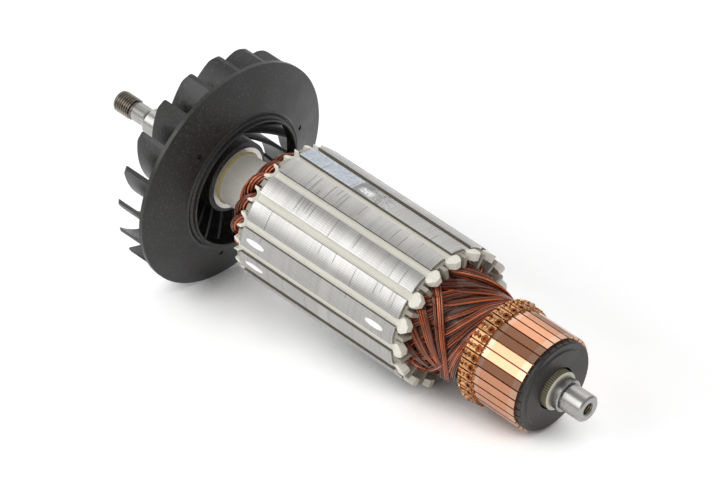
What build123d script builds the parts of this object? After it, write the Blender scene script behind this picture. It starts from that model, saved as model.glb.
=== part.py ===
from build123d import *
import os
from math import cos, degrees, radians, sin, tan

# Rotor of a brushed motor, from a large hand power tool. Millimetres.
# The axis lies on X, and X grows from the commutator end to the drive end. Z is up.
# The origin is on the axis, at the inner end of the commutator-end bearing seat.
# Angles round the axis are in degrees, from +Z towards +Y.

# Clearances
fit_gap = 0.02          # between turned pieces that seat on each other
film_gap = 0.04         # between the slot wall, the liner and the coil side
head_gap = 0.35         # between a winding head and what it lies beside
cut_margin = 1.0        # how far a cutting shape runs past the face that it cuts

# Shaft
end_seat_diameter = 10.0
end_seat_length = 8.2
end_seat_chamfer = 0.6
relief_width = 0.57
relief_depth = 0.2
shaft_diameter = 12.0
shoulder_chamfer = 0.35
bearing_seat_length = 12.23
pinion_seat_diameter = 10.0
pinion_seat_length = 13.3
pinion_seat_chamfer = 0.9
neck_diameter = 7.0
neck_fillet_length = 1.4
neck_length = 6.4
thread_diameter = 8.0
thread_length = 8.6
thread_chamfer = 0.6
tapped_hole_diameter = 4.2
tapped_hole_depth = 9.0
countersink_diameter = 5.2
drill_point_angle = 118.0

# Insulating tube of the commutator end
tube_setback = 3.54         # from the bearing shoulder
tube_wall = 1.18
tube_bevel = 0.2
tube_show = 2.3             # how far the tube stands out of the commutator
flute_count = 52            # round the end of the tube
flute_width = 0.4
flute_depth = 0.2

# Commutator
bar_count = 32
bar_gap_angle = 5.7         # the gap before the first bar
bar_gap = 0.5
track_length = 18.71
track_diameter = 36.08
riser_length = 5.85
riser_height = 0.86
bar_depth = 5.0
bar_neck_depth = 2.4
bar_anchor_inset = 3.6
bar_anchor_flare = 2.0
mica_undercut = 1.4         # the saw cuts between the bars run out over the plate's rim
riser_slot_width = 1.1
riser_slot_length = 2.9
riser_slot_depth = 1.6
riser_pit_width = 1.3       # of the mark that the fusing tool leaves in front of each slot
riser_pit_depth = 0.5
riser_pit_place = 1.15      # behind the end of the track
plate_thickness = 2.35
plate_inset = 1.1
plate_edge = 0.5
plate_rim_width = 2.9
plate_step = 0.5
plate_bore_clearance = 0.75
plate_bore_depth = 3.0

# Laminated core
core_setback = 24.33        # from the risers
core_length = 70.87
core_diameter = 51.8
slot_count = 16
slot_angle = 5.3            # the first slot
slot_opening = 3.0
tooth_width = 3.8
tooth_tip = 1.4
tooth_tip_slope = 0.4
slot_depth = 12.1

# Material taken off for balance
balance_depth = 0.26
balance_wheel_radius = 39.0
balance_wheel_crown = 3.8
balance_inset_fan_side = 6.5
balance_angles_fan_side = (84.5, 106.5)
balance_inset_commutator_side = 8.6
balance_angle_commutator_side = 84.5
milled_strip_length = 24.5
milled_strip_width = 11.4       # of the cutter, wider than a tooth
milled_strip_slot = -1      # the strip lies on the tooth after this slot

# Slot insulation
wedge_rib_height = 0.2      # how far a wedge bulges into the slot mouth
wedge_thickness = 1.1
wedge_tongue = 4.9          # how far a wedge stands out of the core, at the commutator end
wedge_tongue_taper = 2.2
wedge_tongue_tip = 2.2      # width of its blunt tip
wedge_ears = 3.4            # how far it stands out at the fan end
wedge_spring = 1.7          # how far out of the core a wedge has sprung to its full width
wedge_spring_height = 1.2   # how far it springs up there
wedge_crown = 0.5           # how far the sides of the sprung part lie below its middle
ear_notch_radius = 1.8
ear_notch_floor = 1.0       # from the core
ear_tip = 0.3               # width of the tip of each ear
liner_thickness = 0.22
insulator_plate = 1.2
insulator_rib_inset = 1.1
insulator_hub_inset = 0.4
commutator_side_rib_width = 1.4
commutator_side_rib = 2.8
fan_side_rib_width = 2.5
fan_side_rib = 1.3

# Winding
coil_top_gap = 0.3
head_inset = 5.2            # from the core's surface to the head beside the core
lobe_height = 0.8
lobe_corners = (1, 0, 0)    # low and high corners of one lobe
commutator_head_waist = 3.5     # below the risers
commutator_head_form = (0.0, 0.13, 0.46, 0.77, 1.0, 1.0)
commutator_head_twist = -52.0
fan_head_length = 10.8
fan_head_end_height = 2.6       # above the sleeve
fan_head_form = (0.0, 0.08, 0.32, 0.67, 1.0)
fan_head_twist = 38.0
lead_clearance = 0.1
lead_top_length = 1.5       # behind the riser, at the lead's outer side
lead_foot_length = 3.0      # behind the riser, where the lead joins the head
lead_foot_sink = 0.8

# Sleeve between the core and the fan, and the metal bush in the fan
sleeve_show = 26.75
sleeve_diameter = 19.2
bush_length = 17.0
bush_wall = 2.1
bush_recess_depth = 2.5
bush_recess_clearance = 0.1
bush_bevel = 0.5

# Cooling fan
fan_diameter = 85.9
hub_setback = 0.7           # from the bush's front face
hub_wall = 1.6
rim_setback = 3.26          # from the bush's front face
shroud_slope = 18.2
shroud_thickness = 1.5
shroud_eye_thickness = 3.0      # where the shroud carries the lip
eye_radius = 23.8
lip_width = 0.8
lip_height = 1.2
lip_bevel = 0.25
groove_offset = 1.6
crest_offset = 2.55
crest_width = 0.5
crest_height = 0.35
blade_count = 20
blade_angle = 0.1           # the tip of the first blade
blade_height = 13.74
blade_root_height = 7.5
blade_thickness = 1.0
blade_tip_inset = 0.85
blade_corner_radius = 1.9
blade_bend_lag = 29.0       # how far the middle of a blade trails its tip
blade_root_lag = 70.5
blade_sink = 0.6            # how deep a blade's root runs into the hub
blade_eye_depth = 2.25      # from the shroud's face to the blade's front edge, at the eye
pit_count = 3
pit_angle = 49.4
pit_offset = 5.7
pit_diameter = 1.8
pit_depth = 0.6

# Radii that follow from the sizes above
shaft_radius = shaft_diameter / 2
tube_radius = shaft_radius + fit_gap + tube_wall
track_radius = track_diameter / 2
riser_radius = track_radius + riser_height
core_radius = core_diameter / 2
tip_radius = core_radius - tooth_tip
floor_radius = core_radius - slot_depth
coil_top = tip_radius - tooth_tip_slope - wedge_thickness - coil_top_gap
sleeve_radius = sleeve_diameter / 2
bush_radius = sleeve_radius + bush_recess_clearance + bush_wall
hub_radius = bush_radius + fit_gap + hub_wall
rim_radius = fan_diameter / 2
blade_tip_radius = rim_radius - blade_tip_inset
crest_radius = eye_radius + crest_offset

# Places along the axis that follow from the sizes above
shoulder = relief_width
tube_start = shoulder + tube_setback
plate_face = tube_start + tube_show
track_start = plate_face + plate_thickness
track_end = track_start + track_length
riser_end = track_end + riser_length
core_start = riser_end + core_setback
core_end = core_start + core_length
bush_start = core_end + sleeve_show
bush_end = bush_start + bush_length
hub_start = bush_start + hub_setback
rim_start = bush_start + rim_setback
blade_back = rim_start + blade_height
bearing_seat_start = bush_end + relief_width
bearing_seat_end = bearing_seat_start + bearing_seat_length
pinion_seat_end = bearing_seat_end + pinion_seat_length
neck_end = pinion_seat_end + neck_length
shaft_end = neck_end + thread_length

# Spacing round the axis
slot_pitch = 360.0 / slot_count
bar_pitch = 360.0 / bar_count
first_bar = bar_gap_angle + bar_pitch / 2


def turned(outline, arc=360.0):
    """Solid of revolution about the axis, from an outline of (x, radius) points."""
    return revolve(make_face(Polyline(*outline, close=True)), Axis.X, arc)


def ring(start, end, inner, outer):
    """Plain tube from one place on the axis to another."""
    return turned([(start, inner), (start, outer), (end, outer), (end, inner)])


def turn_to(shape, angle):
    """A shape that points up, turned round the axis to an angle."""
    return Rot(X=-angle) * shape


def spread(shape, count, first):
    """Flat copies of a shape round the middle of a cross section."""
    return [Rot(Z=-(first + k * 360.0 / count)) * shape for k in range(count)]


def drawn(section, start, end):
    """A cross section drawn out along the axis, with its own up towards +Z."""
    return extrude(Plane.YZ.offset(start) * section, end - start)


def side_cut(outline, width):
    """A plate of some width, from an outline of (x, radius) points seen from the side."""
    face = Plane.XZ * make_face(Polyline(*outline, close=True))
    return extrude(face, width / 2, both=True)


def polar(radius, angle):
    """Point of a cross section at a radius and an angle."""
    return (radius * sin(radians(angle)), radius * cos(radians(angle)))


def mirrored(points):
    """Points of the right half, listed from the top down, and their mirror images."""
    return points + [(-across, up) for across, up in reversed(points)]


def filled(points):
    """Flat face inside a closed outline."""
    return make_face(Polyline(*points, close=True))


def slot_side(reach, inset):
    """Point beside the tooth, at a distance along the tooth and an inset from its flank."""
    half_pitch = radians(slot_pitch / 2)
    offset = tooth_width / 2 + inset
    across = reach * sin(half_pitch) - offset * cos(half_pitch)
    up = reach * cos(half_pitch) + offset * sin(half_pitch)
    return (across, up)


def shroud_x(radius):
    """Place of the shroud's outer cone at a radius."""
    return rim_start - (rim_radius - radius) * tan(radians(shroud_slope))


# Shaft

def make_shaft():
    """Turned shaft: bearing seats, pinion seat, neck and threaded end, tapped at the other end."""
    hole = tapped_hole_diameter / 2
    sink = countersink_diameter / 2
    seat = end_seat_diameter / 2
    pinion = pinion_seat_diameter / 2
    neck = neck_diameter / 2
    thread = thread_diameter / 2
    end_face = -end_seat_length
    hole_floor = end_face + tapped_hole_depth
    hole_point = hole_floor + hole / tan(radians(drill_point_angle / 2))
    return turned([
        (end_face, sink),
        (end_face, seat - end_seat_chamfer),
        (end_face + end_seat_chamfer, seat),
        (0, seat),
        (0, seat - relief_depth),
        (shoulder, seat - relief_depth),
        (shoulder, shaft_radius - shoulder_chamfer),
        (shoulder + shoulder_chamfer, shaft_radius),
        (bush_end, shaft_radius),
        (bush_end, shaft_radius - relief_depth),
        (bearing_seat_start, shaft_radius - relief_depth),
        (bearing_seat_start, shaft_radius),
        (bearing_seat_end, shaft_radius),
        (bearing_seat_end, pinion),
        (pinion_seat_end - pinion_seat_chamfer, pinion),
        (pinion_seat_end, pinion - pinion_seat_chamfer),
        (pinion_seat_end + neck_fillet_length, neck),
        (neck_end, neck),
        (neck_end + thread - neck, thread),
        (shaft_end - thread_chamfer, thread),
        (shaft_end, thread - thread_chamfer),
        (shaft_end, 0),
        (hole_point, 0),
        (hole_floor, hole),
        (end_face + sink - hole, hole),
    ])


def make_commutator_tube():
    """Insulating tube that carries the commutator on the shaft, fluted at its free end."""
    bore = shaft_radius + fit_gap
    tube = turned([
        (tube_start, bore),
        (tube_start, tube_radius - tube_bevel),
        (tube_start + tube_bevel, tube_radius),
        (core_start, tube_radius),
        (core_start, bore),
    ])
    flute = Pos(0, tube_radius) * Rectangle(flute_width, 2 * flute_depth)
    flutes = Sketch() + spread(flute, flute_count, 0)
    return tube - drawn(flutes, tube_start + tube_bevel, plate_face + plate_bore_depth)


# Commutator

def bar_outline():
    """Side view of a commutator bar: the track, the riser and the dovetail that anchors it."""
    neck = track_radius - bar_neck_depth
    root = track_radius - bar_depth
    front_anchor = track_start + bar_anchor_inset
    back_anchor = riser_end - bar_anchor_inset
    return [
        (track_start, track_radius),
        (track_end, track_radius),
        (track_end, riser_radius),
        (riser_end, riser_radius),
        (riser_end, neck),
        (back_anchor, neck),
        (back_anchor + bar_anchor_flare, root),
        (front_anchor - bar_anchor_flare, root),
        (front_anchor, neck),
        (track_start, neck),
    ]


def make_bar():
    """One bar, pointing up, with a slot for the wire ends at its back and a pit before it."""
    arc = bar_pitch - degrees(bar_gap / track_radius)
    sector = turn_to(turned(bar_outline(), arc), arc / 2 - 90)
    floor = riser_radius - riser_slot_depth
    start = riser_end - riser_slot_length
    top = riser_radius + cut_margin
    back = riser_end + cut_margin
    slot = side_cut([(start, floor), (start, top), (back, top), (back, floor)], riser_slot_width)
    pit = extrude(RegularPolygon(riser_pit_width / 2, 6), riser_pit_depth, both=True)
    return sector - slot - Pos(track_end + riser_pit_place, 0, riser_radius) * pit


def make_moulding(bars):
    """Moulded hub of the commutator: end plate, bore and the walls between the bars."""
    bore = tube_radius + fit_gap
    mouth = tube_radius + plate_bore_clearance
    edge = track_radius - plate_inset
    rim = edge - plate_rim_width
    rim_face = plate_face + plate_step
    wall = track_radius - mica_undercut
    blank = turned([
        (plate_face + plate_bore_depth, bore),
        (plate_face + plate_bore_depth, mouth),
        (plate_face, mouth),
        (plate_face, rim),
        (rim_face, rim + plate_step),
        (rim_face, edge - plate_edge),
        (rim_face + plate_edge, edge),
        (track_start, edge),
        (track_start, wall),
        (riser_end, wall),
        (riser_end, bore),
    ])
    saw_cut = Pos(0, edge) * Rectangle(bar_gap, 2 * (edge - wall))
    saw_cuts = Sketch() + spread(saw_cut, bar_count, bar_gap_angle)
    return blank - bars - drawn(saw_cuts, plate_face, track_start)


# Laminated core

def slot_section():
    """Cut of one slot through the laminations, pointing up."""
    half = slot_opening / 2
    return filled(mirrored([
        (half, core_radius + cut_margin),
        (half, tip_radius),
        slot_side(tip_radius - tooth_tip_slope, 0),
        slot_side(floor_radius, 0),
    ]))


def balance_cut(place, angle):
    """Shallow oval groove that a grinding wheel with a crowned rim leaves in the core."""
    reach = core_radius - balance_depth + balance_wheel_radius + balance_wheel_crown
    wheel = Rot(X=90) * Torus(balance_wheel_radius, balance_wheel_crown)
    return turn_to(Pos(place, 0, reach) * wheel, angle)


def milled_strip():
    """Flat that runs along one tooth from the fan end."""
    middle = slot_angle + (milled_strip_slot + 0.5) * slot_pitch
    half_tooth = radians(slot_pitch / 2) - slot_opening / core_diameter
    flat = core_radius * cos(half_tooth)
    block = Box(milled_strip_length + cut_margin, milled_strip_width, tooth_tip,
                align=(Align.MAX, Align.CENTER, Align.MIN))
    return turn_to(Pos(core_end + cut_margin, 0, flat) * block, middle)


def make_core():
    """Stack of slotted laminations, with what was taken off it for balance."""
    sheet = Circle(core_radius) - Circle(shaft_radius + fit_gap)
    sheet = sheet - spread(slot_section(), slot_count, slot_angle)
    stack = drawn(sheet, core_start, core_end)
    for angle in balance_angles_fan_side:
        stack = stack - balance_cut(core_end - balance_inset_fan_side, angle)
    stack = stack - balance_cut(core_start + balance_inset_commutator_side, balance_angle_commutator_side)
    return stack - milled_strip()


# Slot insulation

def wedge_plan(half):
    """A wedge seen from above: a blunt tongue at one end, and a notch between two ears at the other."""
    start = core_start - wedge_tongue
    end = core_end + wedge_ears
    side = [(start, wedge_tongue_tip / 2), (start + wedge_tongue_taper, half), (end, half)]
    plan = filled(side + [(x, -across) for x, across in reversed(side)])
    notch = core_end + ear_notch_floor + ear_notch_radius
    mouth = half - ear_tip
    sides = [(notch, ear_notch_radius), (end, mouth), (end, -mouth), (notch, -ear_notch_radius)]
    return plan - Pos(notch, 0) * Circle(ear_notch_radius) - filled(sides)


def sprung_end(section, face, end, rib, half):
    """End of a wedge, clear of the core, where it springs up and out to its full width."""
    full = face + wedge_spring if end > face else face - wedge_spring
    side = [(face, rib), (full, half), (end, half)]
    plan = filled(side + [(x, -across) for x, across in reversed(side)])
    low = tip_radius + wedge_rib_height
    high = tip_radius + wedge_spring_height
    rise = side_cut([(face, 0), (face, low), (full, high), (end, high), (end, 0)], 2 * half)
    return drawn(section, min(face, end), max(face, end)) & extrude(plan, core_radius) & rise


def make_wedge():
    """Slot wedge, pointing up: a flange under the tooth tips that bulges into the slot mouth."""
    rib = slot_opening / 2 - film_gap
    reach = tip_radius - tooth_tip_slope - film_gap
    shoulder = slot_side(reach, film_gap)
    foot = slot_side(reach - wedge_thickness, film_gap)
    half = shoulder[0]
    under_tip = tip_radius - film_gap
    start = core_start - wedge_tongue
    end = core_end + wedge_ears
    flange = drawn(filled(mirrored([(rib, under_tip), shoulder, foot])), start, end)
    bulge = [(rib, tip_radius + wedge_rib_height), (rib, under_tip - film_gap)]
    mouth = drawn(filled(mirrored(bulge)), start, end)
    top = tip_radius + wedge_spring_height
    crown = filled(mirrored([(rib, top), (half, top - wedge_crown), foot]))
    body = flange + mouth
    body += sprung_end(crown, core_start - film_gap, start, rib, half)
    body += sprung_end(crown, core_end + film_gap, end, rib, half)
    return body & extrude(wedge_plan(half), core_radius)


def make_liners():
    """Folded films that line the slots, one in each."""
    inset = film_gap + liner_thickness
    outside = mirrored([slot_side(coil_top, film_gap), slot_side(floor_radius + film_gap, film_gap)])
    inside = mirrored([slot_side(coil_top, inset), slot_side(floor_radius + inset, inset)])
    section = filled(outside + inside[::-1])
    liner = drawn(section, core_start - insulator_plate, core_end + insulator_plate)
    return Compound(children=[turn_to(liner, slot_angle + k * slot_pitch) for k in range(slot_count)])


def make_insulator(bore, face, direction, rib_width, rib_length):
    """End insulator: a star that covers the end of every tooth, with a rib along each."""
    reach = core_radius - insulator_rib_inset
    hub = floor_radius - insulator_hub_inset
    first_tooth = slot_angle + slot_pitch / 2
    arm = Rectangle(tooth_width, reach, align=(Align.CENTER, Align.MIN))
    rib = Rectangle(rib_width, reach, align=(Align.CENTER, Align.MIN))
    star = Circle(hub) + spread(arm, slot_count, first_tooth) - Circle(bore)
    spokes = Sketch() + spread(rib, slot_count, first_tooth) - Circle(hub)
    near = face + direction * insulator_plate
    far = near + direction * rib_length
    plate = drawn(star, min(face, near), max(face, near))
    return plate + drawn(spokes, min(near, far), max(near, far))


# Winding

def flat_sided(rings):
    """Closed solid through rings with equal numbers of points, in flat triangles."""
    faces = [Face(Wire.make_polygon(rings[0])), Face(Wire.make_polygon(rings[-1]))]
    for near, far in zip(rings, rings[1:]):
        for j in range(len(near)):
            faces.append(Face(Wire.make_polygon([near[j - 1], near[j], far[j]])))
            faces.append(Face(Wire.make_polygon([near[j - 1], far[j], far[j - 1]])))
    return Solid(Shell(faces))


def winding_head(start, end, start_radius, end_radius, form, twist):
    """Winding head: a bundle with a low lobe for each coil, twisted as it narrows.

    The form says how far the radius has gone from its start to its end at even steps.
    """
    corners = slot_count * len(lobe_corners)
    rings = []
    for k, share in enumerate(form):
        way = k / (len(form) - 1)
        crest = start_radius + (end_radius - start_radius) * share
        first = slot_angle + twist * way
        points = []
        for j in range(corners):
            radius = crest - lobe_height * lobe_corners[j % len(lobe_corners)]
            points.append((start + (end - start) * way, *polar(radius, first + j * 360.0 / corners)))
        rings.append(points)
    return flat_sided(rings)


def coil_section():
    """Wires that fill one slot, as one bar that points up."""
    inset = 2 * film_gap + liner_thickness
    return filled(mirrored([slot_side(coil_top, inset), slot_side(floor_radius + inset, inset)]))


def make_lead():
    """Wire end of one coil, pointing up: it leaves the head and lies in the riser's slot."""
    top = riser_radius - lead_clearance
    floor = riser_radius - riser_slot_depth + lead_clearance
    tip = riser_end - riser_slot_length + lead_clearance
    back = riser_end + head_gap
    foot = riser_radius - commutator_head_waist - lobe_height - lead_foot_sink
    outline = [
        (tip, floor),
        (tip, top),
        (back + lead_top_length, top),
        (back + lead_foot_length, foot),
        (back, foot),
        (back, floor),
    ]
    return side_cut(outline, riser_slot_width - 2 * lead_clearance)


def make_winding():
    """Coils, their heads at both ends and the leads to the commutator, wound as one piece."""
    near = core_start - insulator_plate - commutator_side_rib - film_gap
    far = core_end + insulator_plate + fan_side_rib + film_gap
    tail_end = far + fan_head_length
    waist = riser_radius - commutator_head_waist
    head = winding_head(near, riser_end + head_gap, core_radius - head_inset, waist,
                        commutator_head_form, commutator_head_twist)
    head -= ring(riser_end, core_start, 0, tube_radius + head_gap)
    tail = winding_head(far, tail_end, core_radius - head_inset, sleeve_radius + fan_head_end_height,
                        fan_head_form, fan_head_twist)
    tail -= ring(core_end, tail_end + cut_margin, 0, sleeve_radius + head_gap)
    coils = Sketch() + spread(coil_section(), slot_count, slot_angle)
    sides = drawn(coils, near - cut_margin, far + cut_margin)
    lead = make_lead()
    leads = [turn_to(lead, first_bar + k * bar_pitch) for k in range(bar_count)]
    return head + tail + sides + leads


# Sleeve and fan

def make_sleeve():
    """Sleeve on the shaft that spaces the fan from the core."""
    return ring(core_end, bush_start + bush_recess_depth, shaft_radius + fit_gap, sleeve_radius)


def make_bush():
    """Metal bush in the fan's hub, recessed for the sleeve."""
    recess = sleeve_radius + bush_recess_clearance
    bore = shaft_radius + fit_gap
    floor = bush_start + bush_recess_depth
    return turned([
        (bush_start, recess + bush_bevel),
        (bush_start, bush_radius),
        (bush_end, bush_radius),
        (bush_end, bore),
        (floor, bore),
        (floor, recess),
        (bush_start + bush_bevel, recess),
    ])


def shroud():
    """Conical shroud with its rim and the raised double lip round the eye."""
    lip = eye_radius + lip_width
    groove = eye_radius + groove_offset
    crest_foot = crest_radius + crest_width
    lip_top = shroud_x(eye_radius) - lip_height
    return turned([
        (rim_start, rim_radius),
        (shroud_x(crest_foot), crest_foot),
        (shroud_x(crest_radius) - crest_height, crest_radius),
        (shroud_x(groove) + crest_height, groove),
        (shroud_x(lip), lip),
        (lip_top + lip_bevel, lip),
        (lip_top, lip - lip_bevel),
        (lip_top, eye_radius + lip_bevel),
        (lip_top + lip_bevel, eye_radius),
        (shroud_x(eye_radius) + shroud_eye_thickness, eye_radius),
        (shroud_x(crest_radius) + shroud_thickness, crest_radius),
        (rim_start + shroud_thickness, rim_radius),
    ])


def blades():
    """Curved blades, from the hub through the eye to the rim, with their backs in one plane."""
    middle_radius = (hub_radius + blade_tip_radius) / 2
    tip = polar(blade_tip_radius, 0)
    bend = polar(middle_radius, blade_bend_lag)
    root = polar(hub_radius - blade_sink, blade_root_lag)
    middle_line = ThreePointArc(tip, bend, root)
    overrun = Line(tip, (tip[0] - cut_margin, tip[1] + cut_margin))
    section = trace(middle_line + overrun, line_width=blade_thickness)
    front = shroud_x(eye_radius) - cut_margin
    plates = drawn(Sketch() + spread(section, blade_count, blade_angle), front, blade_back)
    half_wall = shroud_thickness / 2
    corner = blade_corner_radius
    lean = corner * (1 - cos(radians(45)))
    sides = Polyline(
        (blade_back, blade_tip_radius - corner),
        (blade_back, hub_radius - blade_sink),
        (blade_back - blade_root_height, hub_radius - blade_sink),
        (shroud_x(eye_radius) + blade_eye_depth, eye_radius + half_wall),
        (shroud_x(crest_radius) + half_wall, crest_radius),
        (shroud_x(blade_tip_radius) + half_wall, blade_tip_radius),
        (blade_back - corner, blade_tip_radius),
    )
    round_corner = ThreePointArc(
        (blade_back - corner, blade_tip_radius),
        (blade_back - lean, blade_tip_radius - lean),
        (blade_back, blade_tip_radius - corner),
    )
    return plates & revolve(make_face([sides, round_corner]), Axis.X, 360)


def make_fan():
    """Moulded radial fan: hub, blades and shroud in one piece, with three shallow pits."""
    hub = ring(hub_start, blade_back, bush_radius + fit_gap, hub_radius)
    fan = shroud() + hub + blades()
    pit_radius = eye_radius + pit_offset
    pit = Pos(shroud_x(pit_radius), 0, pit_radius) * Rot(Y=90) * Cylinder(pit_diameter / 2, 2 * pit_depth)
    for k in range(pit_count):
        fan = fan - turn_to(pit, pit_angle + k * 360.0 / pit_count)
    return fan


# Whole rotor

def make_parts():
    """Every piece of the rotor by its node name."""
    bar = make_bar()
    bars = [turn_to(bar, first_bar + k * bar_pitch) for k in range(bar_count)]
    wedge = make_wedge()
    parts = {
        "shaft": make_shaft(),
        "commutator_tube": make_commutator_tube(),
        "commutator_moulding": make_moulding(bars),
        "lamination_stack": make_core(),
        "slot_liners": make_liners(),
        "end_insulator_commutator_side": make_insulator(
            tube_radius + fit_gap, core_start, -1, commutator_side_rib_width, commutator_side_rib),
        "end_insulator_fan_side": make_insulator(
            sleeve_radius + fit_gap, core_end, 1, fan_side_rib_width, fan_side_rib),
        "armature_winding": make_winding(),
        "shaft_sleeve": make_sleeve(),
        "fan_hub_bush": make_bush(),
        "cooling_fan": make_fan(),
    }
    for k, piece in enumerate(bars):
        parts[f"commutator_bar_{k + 1:02d}"] = piece
    for k in range(slot_count):
        parts[f"slot_wedge_{k + 1:02d}"] = turn_to(wedge, slot_angle + k * slot_pitch)
    return parts


def main():
    """Write each piece to a STEP file of its own."""
    os.makedirs("parts", exist_ok=True)
    for name, piece in make_parts().items():
        piece.label = name
        export_step(piece, f"parts/{name}.step")
        print(name, round(piece.volume, 1))


main()
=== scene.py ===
import logging
import math
import random
from dataclasses import dataclass, field
from enum import Enum
from functools import cached_property
from typing import Optional, Sequence, Union

import bpy
from mathutils import Matrix, Vector


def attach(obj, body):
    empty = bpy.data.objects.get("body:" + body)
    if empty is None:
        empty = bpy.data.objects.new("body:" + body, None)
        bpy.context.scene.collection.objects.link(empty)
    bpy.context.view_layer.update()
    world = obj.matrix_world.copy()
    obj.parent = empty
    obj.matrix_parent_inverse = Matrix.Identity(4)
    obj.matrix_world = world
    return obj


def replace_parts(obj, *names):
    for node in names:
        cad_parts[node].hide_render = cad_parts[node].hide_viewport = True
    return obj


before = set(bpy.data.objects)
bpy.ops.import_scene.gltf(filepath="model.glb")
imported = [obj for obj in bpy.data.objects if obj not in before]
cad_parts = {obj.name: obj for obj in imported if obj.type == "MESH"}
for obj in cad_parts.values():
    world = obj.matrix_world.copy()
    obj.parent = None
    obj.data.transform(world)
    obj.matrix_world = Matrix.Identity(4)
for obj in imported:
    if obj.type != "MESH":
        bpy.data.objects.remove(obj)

LOG = logging.getLogger("rotor")
MM = 0.001
KEY_SIDE = (0.5126, 0.699, 0.4986)
Colour = tuple[float, float, float]


class Axis(Enum):
    """Coordinate of the rotor's frame that a finish follows."""

    X = "X"
    Y = "Y"
    Z = "Z"


def polar(along: float, radius: float, angle: float) -> Vector:
    """Point of the rotor's frame, in metres.

    Args:
        along: place on the axis, in mm.
        radius: distance from the axis, in mm.
        angle: angle from up towards +Y, in degrees.

    Returns:
        The point as a vector.
    """
    turn = math.radians(angle)
    return Vector((along, radius * math.sin(turn), radius * math.cos(turn))) * MM


def smooth(points: Sequence[Vector], steps: int) -> list[Vector]:
    """Smooth line through a few points.

    Args:
        points: the points that the line passes through, in order.
        steps: pieces between one point and the next.

    Returns:
        The points of the smooth line.
    """
    ends = [points[0] * 2 - points[1], *points, points[-1] * 2 - points[-2]]
    line = []
    for k in range(1, len(ends) - 2):
        a, b, c, d = ends[k - 1:k + 3]
        for j in range(steps):
            t = j / steps
            line.append(0.5 * (2 * b + (c - a) * t + (2 * a - 5 * b + 4 * c - d) * t * t
                               + (3 * b - a - 3 * c + d) * t ** 3))
    line.append(points[-1].copy())
    return line


def put(name: str, data: bpy.types.ID) -> bpy.types.Object:
    """Puts a new object in the scene.

    Args:
        name: its name.
        data: its mesh, lamp or camera.

    Returns:
        The object.
    """
    thing = bpy.data.objects.new(name, data)
    bpy.context.scene.collection.objects.link(thing)
    return thing


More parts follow.
